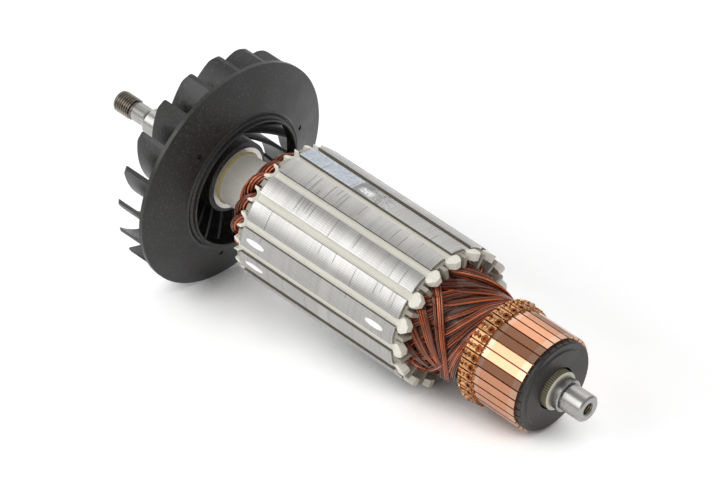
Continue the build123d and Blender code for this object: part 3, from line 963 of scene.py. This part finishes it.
@dataclass
class Finishes:
    """Every finish of the rotor."""

    steel: Finish = ShaftSteel("turned_shaft_steel", "shaft_steel", (0.4, 0.392, 0.38), 0.23)
    core: Finish = SheetEdges("core_sheet_edges", "core_steel", (0.6, 0.594, 0.577), 0.29)
    fan: Finish = CastPlastic("moulded_fan_black", "fan_plastic", (0.0138, 0.0126, 0.0118), 0.37,
                              grain=1.2, depth=0.06, speck=1.0)
    hub: Finish = CommutatorMoulding("moulded_commutator_hub", "dark_moulding", (0.034, 0.031, 0.03), 0.4,
                                     grain=1.8)
    wedge: Finish = PressedFibre("slot_wedge_fibre", "cream_wedge", (0.84, 0.815, 0.715), 0.42)
    film: Finish = PressedFibre("slot_film", "slot_film", (0.62, 0.58, 0.47), 0.4)
    insulator: Finish = PressedFibre("grey_end_board", "grey_insulator", (0.37, 0.345, 0.285), 0.45)
    sleeve: Finish = PressedFibre("pale_shaft_sleeve", "pale_sleeve", (0.86, 0.825, 0.745), 0.38)
    glue: Finish = PressedFibre("sleeve_glue", "pale_sleeve", (0.62, 0.5, 0.2), 0.3)
    tube: Finish = TubeFibre("olive_shaft_tube", "olive_tube", (0.38, 0.35, 0.24), 0.45)
    bush: Finish = TurnedMetal("turned_hub_bush", "bush_metal", (0.66, 0.64, 0.61), 0.24)
    copper: Finish = TurnedCopper("turned_bar_copper", "copper", (0.645, 0.385, 0.265), 0.12)
    joint: Finish = FusedJoint("fused_wire_joint", "copper", (0.92, 0.54, 0.24), 0.22)
    wire: Finish = EnamelledWire("enamelled_copper_wire", "enamelled_wire", (0.1, 0.023, 0.011), 0.24)
    filler: Finish = Varnish("winding_varnish", "enamelled_wire", (0.17, 0.105, 0.08), 0.32)


@dataclass
class Wrapping:
    """Line of a wire over the winding head, as places along the axis, radii and turned angles."""

    places: tuple[float, ...]
    radii: tuple[float, ...]
    turns: tuple[float, ...]

    def line(self, start_angle: float, sense: int, shift: tuple[float, float], steps: int,
             twist: float = 0.0) -> list[Vector]:
        """Centre line of one wire of a bundle.

        Args:
            start_angle: angle of the slot that the bundle leaves.
            sense: 1 where the angle grows along the bundle, and -1 where it falls.
            shift: how far the wire lies beside and above the middle of the bundle, in mm.
            steps: pieces between one given point and the next.
            twist: how far the bundle turns about its own middle along its length, in degrees.

        Returns:
            The points of the wire, in metres.
        """
        middle = smooth([polar(x, r, start_angle + sense * turn)
                         for x, r, turn in zip(self.places, self.radii, self.turns)], steps)
        line = []
        for k, point in enumerate(middle):
            ahead = (middle[min(k + 1, len(middle) - 1)] - middle[max(k - 1, 0)]).normalized()
            up = Vector((0.0, point.y, point.z)).normalized()
            up = (up - ahead * up.dot(ahead)).normalized()
            beside = ahead.cross(up)
            turn = math.radians(twist) * k / (len(middle) - 1)
            across = shift[0] * math.cos(turn) - shift[1] * math.sin(turn)
            above = shift[0] * math.sin(turn) + shift[1] * math.cos(turn)
            line.append(point + beside * across * MM + up * above * MM)
        return line


@dataclass
class Winding:
    """Coils with their heads at both ends, and the leads to the commutator."""

    finishes: Finishes
    slots: int = 16
    first_slot: float = 5.3
    pitch_slots: int = 7
    wire_radius: float = 0.37
    wire_spacing: float = 1.05
    layer_height: float = 0.87
    drawn: float = 0.97
    stray: float = 0.12
    stray_angle: float = 0.6
    head_columns: int = 5
    head_rows: int = 2
    lead_wires: tuple[int, ...] = (3, 4, 4)
    core_start: float = 57.65
    core_end: float = 128.52
    bars: int = 32
    first_bar: float = 11.325
    tiers: int = 8
    tier_drop: float = 0.45
    tier_less: float = 0.085
    bulge: float = 16.0
    rope_radius: float = 1.3
    rope_reach: float = 1.6
    rope_sides: int = 10
    rope_wires: int = 9
    wire_sides: int = 7
    steps: int = 4
    rope_steps: int = 5
    filler_steps: int = 96
    high_side: float = 47.0
    low_drop: float = 1.9
    seed: int = 7

    def bundle(self, maker: MeshMaker, wrapping: Wrapping, start_angle: float, sense: int, columns: int,
               rows: int, rng: random.Random) -> None:
        """Adds one flat bundle of wires.

        Args:
            maker: where the wires are gathered.
            wrapping: line of the bundle's middle.
            start_angle: angle of the slot that it leaves.
            sense: which way round it goes.
            columns: wires side by side.
            rows: layers of wires.
            rng: source of the small differences between wires.
        """
        pitch = 2 * self.wire_radius * self.wire_spacing
        for row in range(rows):
            count = columns - row % 2
            for column in range(count):
                beside = (column - (count - 1) / 2) * pitch + rng.uniform(-self.stray, self.stray)
                above = -row * pitch * self.layer_height + rng.uniform(-self.stray, self.stray)
                angle = start_angle + rng.uniform(-self.stray_angle, self.stray_angle)
                line = wrapping.line(angle, sense, (beside, above), self.steps)
                tone = 0.95 * rng.uniform(0.0, 1.0) ** 2.3
                maker.tube(line, self.wire_radius * self.drawn, self.wire_sides, tone)

    def slot(self, number: int) -> float:
        """Angle of a slot."""
        return self.first_slot + number * 360.0 / self.slots

    def commutator_heads(self) -> None:
        """Makes the coil heads beside the commutator, which cross the end of the core in long arcs."""
        rng = random.Random(self.seed)
        maker = MeshMaker()
        span = self.pitch_slots * 360.0 / self.slots
        shares = (0.0, 0.16, 0.42, 0.66, 0.86, 0.98, 1.0)
        turns = (0.0, 2.0, 12.0, 27.0, 46.0, 64.0, span / 2)
        heights = (20.9, 20.9, 20.3, 19.2, 17.9, 17.1, 16.8)
        drops = (0.2, 0.3, 0.5, 0.8, 1.0, 1.0, 1.0)
        for slot in range(self.slots):
            tier = (slot - 1) % self.tiers
            bulge = self.bulge * (1.0 - self.tier_less * tier)
            radii = tuple(r - self.tier_drop * tier * drop for r, drop in zip(heights, drops))
            places = tuple(self.core_start - bulge * share for share in shares)
            full = Wrapping(places + places[-2::-1], radii + radii[-2::-1],
                            turns + tuple(span - turn for turn in turns[-2::-1]))
            self.bundle(maker, full, self.slot(slot), 1, self.head_columns, self.head_rows, rng)
        maker.make("coil_heads_commutator_side", self.finishes.wire)

    def fan_heads(self) -> None:
        """Makes the coil heads beside the fan, each a short twisted bundle that dives under the next."""
        rng = random.Random(self.seed + 1)
        maker = MeshMaker()
        for slot in range(self.slots):
            swell = rng.uniform(-0.5, 0.2)
            middle = self.slot(slot) + rng.uniform(-0.5, 0.5)
            low = self.low_drop * math.sin(math.radians(middle - self.high_side)) ** 2
            lift = rng.uniform(0.0, 0.35) - low
            rope = Wrapping(
                tuple(self.core_end + x + swell for x in (0.2, 2.6, 5.3, 7.3, 8.6, 9.3, 9.5, 9.3)),
                tuple(r + lift for r in (19.3, 20.0, 20.4, 20.2, 19.3, 17.9, 16.2, 14.5)),
                (-1.0, 1.0, 5.5, 12.0, 19.5, 28.0, 37.0, 46.0))
            phase, twist = rng.uniform(0.0, 40.0), rng.uniform(190.0, 290.0)
            maker.tube(rope.line(middle, 1, (0.0, 0.0), self.rope_steps), self.rope_radius, self.rope_sides)
            for k in range(self.rope_wires):
                turn = math.radians(phase + k * 360.0 / self.rope_wires)
                reach = self.rope_reach + rng.uniform(-0.12, 0.15)
                shift = (reach * math.cos(turn), reach * math.sin(turn))
                line = rope.line(middle, 1, shift, self.rope_steps, twist)
                maker.tube(line, self.wire_radius, self.wire_sides, 0.9 * rng.uniform(0.0, 1.0) ** 1.6)
        maker.make("coil_heads_fan_side", self.finishes.wire)

    def leads(self) -> None:
        """Makes the wire ends from the slots to the risers, which bend round behind them."""
        rng = random.Random(self.seed + 5)
        maker = MeshMaker()
        places = (58.0, 55.0, 51.5, 48.0, 45.0, 42.5, 40.3, 38.6, 37.3, 36.2, 35.2, 34.2)
        radii = (18.4, 18.9, 18.6, 17.9, 17.2, 16.7, 16.4, 16.3, 16.3, 16.4, 16.6, 16.9)
        turns = (0.0, 3.0, 9.0, 16.0, 27.0, 38.0, 51.0, 64.0, 77.0, 89.0, 98.0, 104.0)
        for slot in range(self.slots):
            wide = rng.uniform(0.9, 1.12)
            lead = Wrapping(places, tuple(r + rng.uniform(-0.1, 0.25) for r in radii),
                            tuple(turn * wide for turn in turns))
            self.bundle(maker, lead, self.slot(slot), -1, rng.choice(self.lead_wires), 1, rng)
        maker.make("coil_leads", self.finishes.wire)

    def ends(self) -> None:
        """Makes the short wire ends that lie in the risers' slots."""
        rng = random.Random(self.seed + 9)
        maker = MeshMaker()
        end = Wrapping((35.6, 34.6, 33.7, 32.4, 30.6), (15.4, 16.6, 17.7, 18.2, 18.3),
                       (7.0, 3.5, 0.6, 0.0, 0.0))
        for bar in range(self.bars):
            angle = self.first_bar + bar * 360.0 / self.bars
            line = end.line(angle, 1, (rng.uniform(-0.05, 0.05), 0.0), self.steps)
            maker.tube(line, self.wire_radius, self.wire_sides, rng.uniform(0.3, 1.0))
        maker.make("coil_ends", self.finishes.wire)

    def filler(self) -> bpy.types.Object:
        """Makes the dark varnished mass under the wires, with painted shade near the core, which stands for
        the solid winding.

        Returns:
            The piece.
        """
        maker = MeshMaker()
        before = [(33.7, 7.3), (33.7, 16.4), (35.0, 16.1), (38.0, 15.6), (44.0, 15.9), (50.0, 17.4),
                  (57.6, 19.5), (57.6, 7.3)]
        behind = [(128.6, 9.7), (128.6, 19.0), (133.0, 18.8), (135.6, 17.4), (136.9, 14.2), (137.4, 9.7)]
        for outline in (before, behind):
            maker.lathe(outline, self.filler_steps)
        return maker.make("winding_varnish", self.finishes.filler)

    def build(self) -> None:
        """Makes the heads, the leads and what lies under them."""
        self.commutator_heads()
        self.fan_heads()
        self.leads()
        self.ends()
        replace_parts(self.filler(), "armature_winding")


@dataclass
class Shaft:
    """Turned shaft with its real thread."""

    finishes: Finishes
    steps: int = 96
    thread_pitch: float = 1.0
    thread_radius: float = 4.0
    thread_root: float = 3.42
    thread_start: float = 204.9
    thread_end: float = 213.37
    thread_steps: int = 48
    fade_in: float = 0.6
    fade_out: float = 1.2

    def body(self) -> bpy.types.Object:
        """Makes the shaft without its thread.

        Returns:
            The piece.
        """
        maker = MeshMaker()
        maker.lathe([
            (-8.2, 2.6), (-8.2, 4.4), (-7.6, 5.0), (0.0, 5.0), (0.0, 4.8), (0.57, 4.8), (0.57, 5.65),
            (0.92, 6.0), (172.27, 6.0), (172.27, 5.8), (172.84, 5.8), (172.84, 6.0), (185.07, 6.0),
            (185.07, 5.0), (197.47, 5.0), (198.37, 4.1), (199.77, 3.5), (204.77, 3.5), (204.9, 3.44),
            (212.9, 3.44), (213.3, 3.2), (213.37, 3.1), (213.37, 0.0), (2.06, 0.0), (0.8, 2.1),
            (-7.7, 2.1)], self.steps)
        return maker.make("turned_shaft", self.finishes.steel, 30.0)

    def thread(self) -> None:
        """Makes the raised thread at the drive end."""
        maker = MeshMaker()
        turns = (self.thread_end - self.thread_start) / self.thread_pitch
        root, steps = self.thread_root, self.thread_steps
        rows = []
        for k in range(int(turns * steps)):
            along = self.thread_start + k / steps * self.thread_pitch
            fade = min(1.0, k / steps / self.fade_in, (turns - k / steps) / self.fade_out)
            crest = root + (self.thread_radius - root) * max(0.05, fade)
            angle = k * 360.0 / steps
            profile = ((-0.02, root - 0.1), (0.0, root), (0.42, crest), (0.55, crest), (0.97, root),
                       (0.99, root - 0.1))
            rows.append([polar(min(along + dx * self.thread_pitch, self.thread_end - 0.02), r, angle)
                         for dx, r in profile])
        maker.grid(rows)
        maker.make("shaft_thread", self.finishes.steel, 50.0)

    def build(self) -> None:
        """Makes the shaft and its thread, which stand for the plain solid."""
        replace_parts(self.body(), "shaft")
        self.thread()


@dataclass
class RiserJoints:
    """Fused ends of the coil wires: two lips and a drop at each riser's slot, and a collar round its pit."""

    finishes: Finishes
    bars: int = 32
    first_bar: float = 11.325
    riser_radius: float = 18.9
    lip_place: float = 31.9
    lip_aside: float = 0.86
    lip_ahead: float = 0.55
    middle_behind: float = 0.95
    sunk: float = 0.12
    pit_place: float = 28.62
    collar_drops: int = 5
    collar: tuple[float, float] = (1.4, 1.6)
    seed: int = 23

    def drop(self, maker: MeshMaker, along: float, angle: float, size: tuple[float, float, float],
             rng: random.Random) -> None:
        """Adds one drop that is sunk into the riser's surface.

        Args:
            maker: where the drops are gathered.
            along: place on the axis, in mm.
            angle: angle round the axis, in degrees.
            size: half its length, half its width and its height, in mm.
            rng: source of its unevenness.
        """
        place = polar(along, self.riser_radius - self.sunk, angle)
        up = polar(0.0, 1.0, angle).normalized()
        ahead = Vector((1.0, 0.0, 0.0))
        beside = ahead.cross(up)
        skew = rng.uniform(-0.2, 0.2)
        axes = ((ahead + beside * skew) * size[0] * MM, beside * size[1] * MM, up * size[2] * MM)
        maker.lump(place, axes, rng)

    def build(self) -> None:
        """Makes the joints of all the bars."""
        rng = random.Random(self.seed)
        maker = MeshMaker()
        degree = 180.0 / math.pi / self.riser_radius
        for k in range(self.bars):
            middle = self.first_bar + k * 360.0 / self.bars
            for side in (-1, 1):
                shift = side * (self.lip_aside + rng.uniform(-0.1, 0.1)) * degree
                along = self.lip_place + rng.uniform(-0.2, 0.2) + self.lip_ahead
                self.drop(maker, along, middle + shift, (0.6, 0.42, 0.5 + rng.uniform(0.0, 0.2)), rng)
            along = self.lip_place - self.middle_behind + rng.uniform(-0.15, 0.15)
            angle = middle + rng.uniform(-0.35, 0.35) * degree
            self.drop(maker, along, angle, (0.8, 0.85, 0.8 + rng.uniform(0.0, 0.25)), rng)
            for j in range(self.collar_drops):
                turn = 2 * math.pi * (j + rng.uniform(-0.2, 0.2)) / self.collar_drops
                along = self.pit_place + self.collar[0] * math.cos(turn)
                angle = middle + self.collar[1] * math.sin(turn) * degree
                self.drop(maker, along, angle, (0.3, 0.24, 0.16 + rng.uniform(0.0, 0.1)), rng)
        maker.make("riser_joints", self.finishes.joint)


@dataclass
class SleeveGlue:
    """Bead of yellow glue between the sleeve and the fan's metal bush."""

    finishes: Finishes
    place: float = 155.2
    radius: float = 9.6
    profile: tuple[tuple[float, float], ...] = ((-0.75, -0.02), (-0.45, 0.14), (0.0, 0.3), (0.3, 0.5),
                                                (0.5, 0.2), (0.5, -0.02))
    steps: int = 96
    swells: int = 12
    seed: int = 31

    def build(self) -> None:
        """Makes the bead, a little uneven round the sleeve."""
        rng = random.Random(self.seed)
        maker = MeshMaker()
        swell = [rng.uniform(0.75, 1.15) for _ in range(self.swells)]
        rows = []
        for k in range(self.steps + 1):
            share = k * len(swell) / self.steps
            near, far = swell[int(share) % len(swell)], swell[(int(share) + 1) % len(swell)]
            size = near + (far - near) * (share - int(share))
            rows.append([polar(self.place + along * size, self.radius + up * size, k * 360.0 / self.steps)
                         for along, up in self.profile])
        maker.grid(rows)
        maker.make("sleeve_glue", self.finishes.glue)


@dataclass
class SolidPieces:
    """Pieces whose solids keep their shape and get a finish."""

    finishes: Finishes

    def finish_of(self, node: str) -> Finish:
        """Finish of a solid.

        Args:
            node: name of the solid.

        Returns:
            What it is made of.
        """
        finishes = self.finishes
        starts = {"commutator_bar": finishes.copper, "commutator_tube": finishes.tube,
                  "commutator_moulding": finishes.hub, "slot_wedge": finishes.wedge,
                  "slot_liners": finishes.film, "end_insulator": finishes.insulator,
                  "lamination_stack": finishes.core, "shaft_sleeve": finishes.sleeve,
                  "shaft": finishes.steel, "fan_hub_bush": finishes.bush, "cooling_fan": finishes.fan,
                  "armature_winding": finishes.wire}
        return next(finish for start, finish in starts.items() if node.startswith(start))

    def build(self) -> None:
        """Puts each solid's finish in its material slots."""
        for node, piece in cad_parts.items():
            finish = self.finish_of(node)
            piece.data.materials.clear()
            piece.data.materials.append(finish.material())
            LOG.info("%s: %s", node, finish.name)


@dataclass
class Softbox:
    """Flat studio lamp that lights the rotor and shows in its metal."""

    name: str
    direction: tuple[float, float, float]
    distance: float
    size: tuple[float, float]
    brightness: float
    target: tuple[float, float, float] = (0.09, 0.0, 0.0)

    def build(self) -> None:
        """Makes the lamp, facing the rotor."""
        lamp = bpy.data.lights.new(self.name, "AREA")
        lamp.shape = "RECTANGLE"
        lamp.size, lamp.size_y = self.size
        lamp.energy = math.pi * self.size[0] * self.size[1] * self.brightness
        holder = put(self.name, lamp)
        away = Vector(self.direction).normalized()
        holder.location = Vector(self.target) + away * self.distance
        holder.rotation_euler = (-away).to_track_quat("-Z", "Y").to_euler()


@dataclass
class Studio:
    """Pale floor, soft light, white background and the camera."""

    tilt: float = 9.35
    rim_place: float = 158.53
    rim_radius: float = 42.95
    floor_half: float = 6.0
    floor_back: float = 0.08
    floor_colour: float = 0.98
    floor_glow: float = 0.37
    far_glow: float = 0.47
    far_start_end: tuple[float, float] = (500.0, 1300.0)
    contact_shade: float = 0.42
    shadow_reach: float = 0.05
    ambient: float = 0.62
    room: float = 0.46
    lens: float = 291.05
    eye: tuple[float, float, float] = (-0.9111, 1.2365, 1.1595)
    right: tuple[float, float, float] = (-0.7168, -0.6884, 0.1110)
    down: tuple[float, float, float] = (-0.4727, 0.3627, -0.8031)
    boxes: list[Softbox] = field(default_factory=lambda: [
        Softbox("key_softbox", KEY_SIDE, 1.1, (1.3, 0.8), 1.15),
        Softbox("key_core_softbox", KEY_SIDE, 1.04, (0.43, 0.75), 1.3),
        Softbox("back_high_softbox", (0.5126, -0.4029, 0.758), 1.1, (1.2, 0.5), 1.14),
        Softbox("back_low_softbox", (0.5126, -0.8068, 0.2937), 1.1, (1.2, 0.6), 0.62),
    ])

    def floor(self) -> None:
        """Makes the pale surface that the fan's rim and the commutator's edge lie on."""
        tilt = math.radians(self.tilt)
        touch = Vector((self.rim_place, 0.0, -self.rim_radius)) * MM
        along = Vector((math.cos(tilt), 0.0, -math.sin(tilt)))
        centre = touch - along * self.floor_back
        side = Vector((0.0, 1.0, 0.0))
        half = self.floor_half
        mesh = bpy.data.meshes.new("studio_floor")
        mesh.from_pydata([centre + along * a * half + side * b * half
                          for a, b in ((-1, -1), (1, -1), (1, 1), (-1, 1))], [], [(0, 1, 2, 3)])
        floor = put("studio_floor", mesh)
        mesh.materials.append(self.floor_material())

    def floor_material(self) -> bpy.types.Material:
        """Makes the white finish of the floor, which keeps the rotor's shadow, deepens it with a painted
        contact shadow and lifts its edge with a painted glow.

        Returns:
            The material.
        """
        shader = Shader("studio_floor", (1.0, 1.0, 1.0))
        sky = shader.get("AmbientOcclusion", {"Distance": self.shadow_reach}, "AO", samples=8)
        # Painted light: a glow that lifts the floor where the rotor half-shades it.
        near = shader.span(sky, 0.1, 0.55, 0.0, self.floor_glow) * shader.span(sky, 0.75, 1.0, 1.0, 0.4)
        away = shader.length(shader.place(Axis.Z), shader.place(Axis.X), shader.place(Axis.Y))
        glow = shader.math("MAXIMUM", near, shader.span(away, *self.far_start_end, 0.0, self.far_glow))
        # Painted shadow: the floor's colour is darkened where the rotor is close above it.
        grey = shader.span(sky, 0.0, 0.4, self.contact_shade, 1.0) * self.floor_colour
        shader.tint = shader.vector(grey, grey, grey)
        shader.set(Roughness=0.8, Specular_IOR_Level=0.0, Emission_Color=(1.0, 1.0, 1.0),
                   Emission_Strength=shader.ray("Camera", "Glossy", "Transmission") * glow)
        return shader.finished()

    def world(self) -> None:
        """Makes the white background and the dimmer room that lights the rotor."""
        world = bpy.data.worlds.new("studio")
        bpy.context.scene.world = world
        world.use_nodes = True
        nodes = Nodes(world.node_tree)
        height = nodes.get("SeparateXYZ", {0: nodes.get("TexCoord", {}, "Generated")}, "Z")
        low = nodes.get("MapRange", {0: height, 1: -0.15, 2: -0.03, 3: 1.0, 4: self.room})
        mirrored = nodes.get("Mix", {"Factor": nodes.ray("Glossy"), 2: self.ambient, 3: low})
        shown = nodes.get("Mix", {"Factor": nodes.ray("Camera", "Transmission"), 2: mirrored, 3: 1.0})
        back = world.node_tree.nodes["Background"]
        nodes.feed(back.inputs["Color"], (1.0, 1.0, 1.0))
        nodes.feed(back.inputs["Strength"], shown)

    def camera(self) -> None:
        """Makes the camera at the photograph's place."""
        data = bpy.data.cameras.new("camera")
        data.lens, data.sensor_width, data.sensor_fit = self.lens, 36.0, "HORIZONTAL"
        data.clip_start, data.clip_end = 0.05, 20.0
        camera = put("camera", data)
        right, up = Vector(self.right).normalized(), -Vector(self.down)
        up = (up - right * up.dot(right)).normalized()
        back = right.cross(up)
        rows = [(right[k], up[k], back[k], self.eye[k]) for k in range(3)]
        camera.matrix_world = Matrix([*rows, (0.0, 0.0, 0.0, 1.0)])
        bpy.context.scene.camera = camera

    def build(self) -> None:
        """Makes the whole studio."""
        scene = bpy.context.scene
        scene.view_settings.view_transform = "Standard"
        self.floor()
        self.world()
        self.camera()
        for box in self.boxes:
            box.build()


def main() -> None:
    """Builds the rotor's looks and the studio."""
    logging.basicConfig(level=logging.INFO, format="%(name)s %(message)s")
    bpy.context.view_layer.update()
    finishes = Finishes()
    for part in (SolidPieces(finishes), Shaft(finishes), Winding(finishes), RiserJoints(finishes),
                 SleeveGlue(finishes), Studio()):
        LOG.info("building %s", type(part).__name__)
        part.build()


if __name__ == "__main__":
    main()
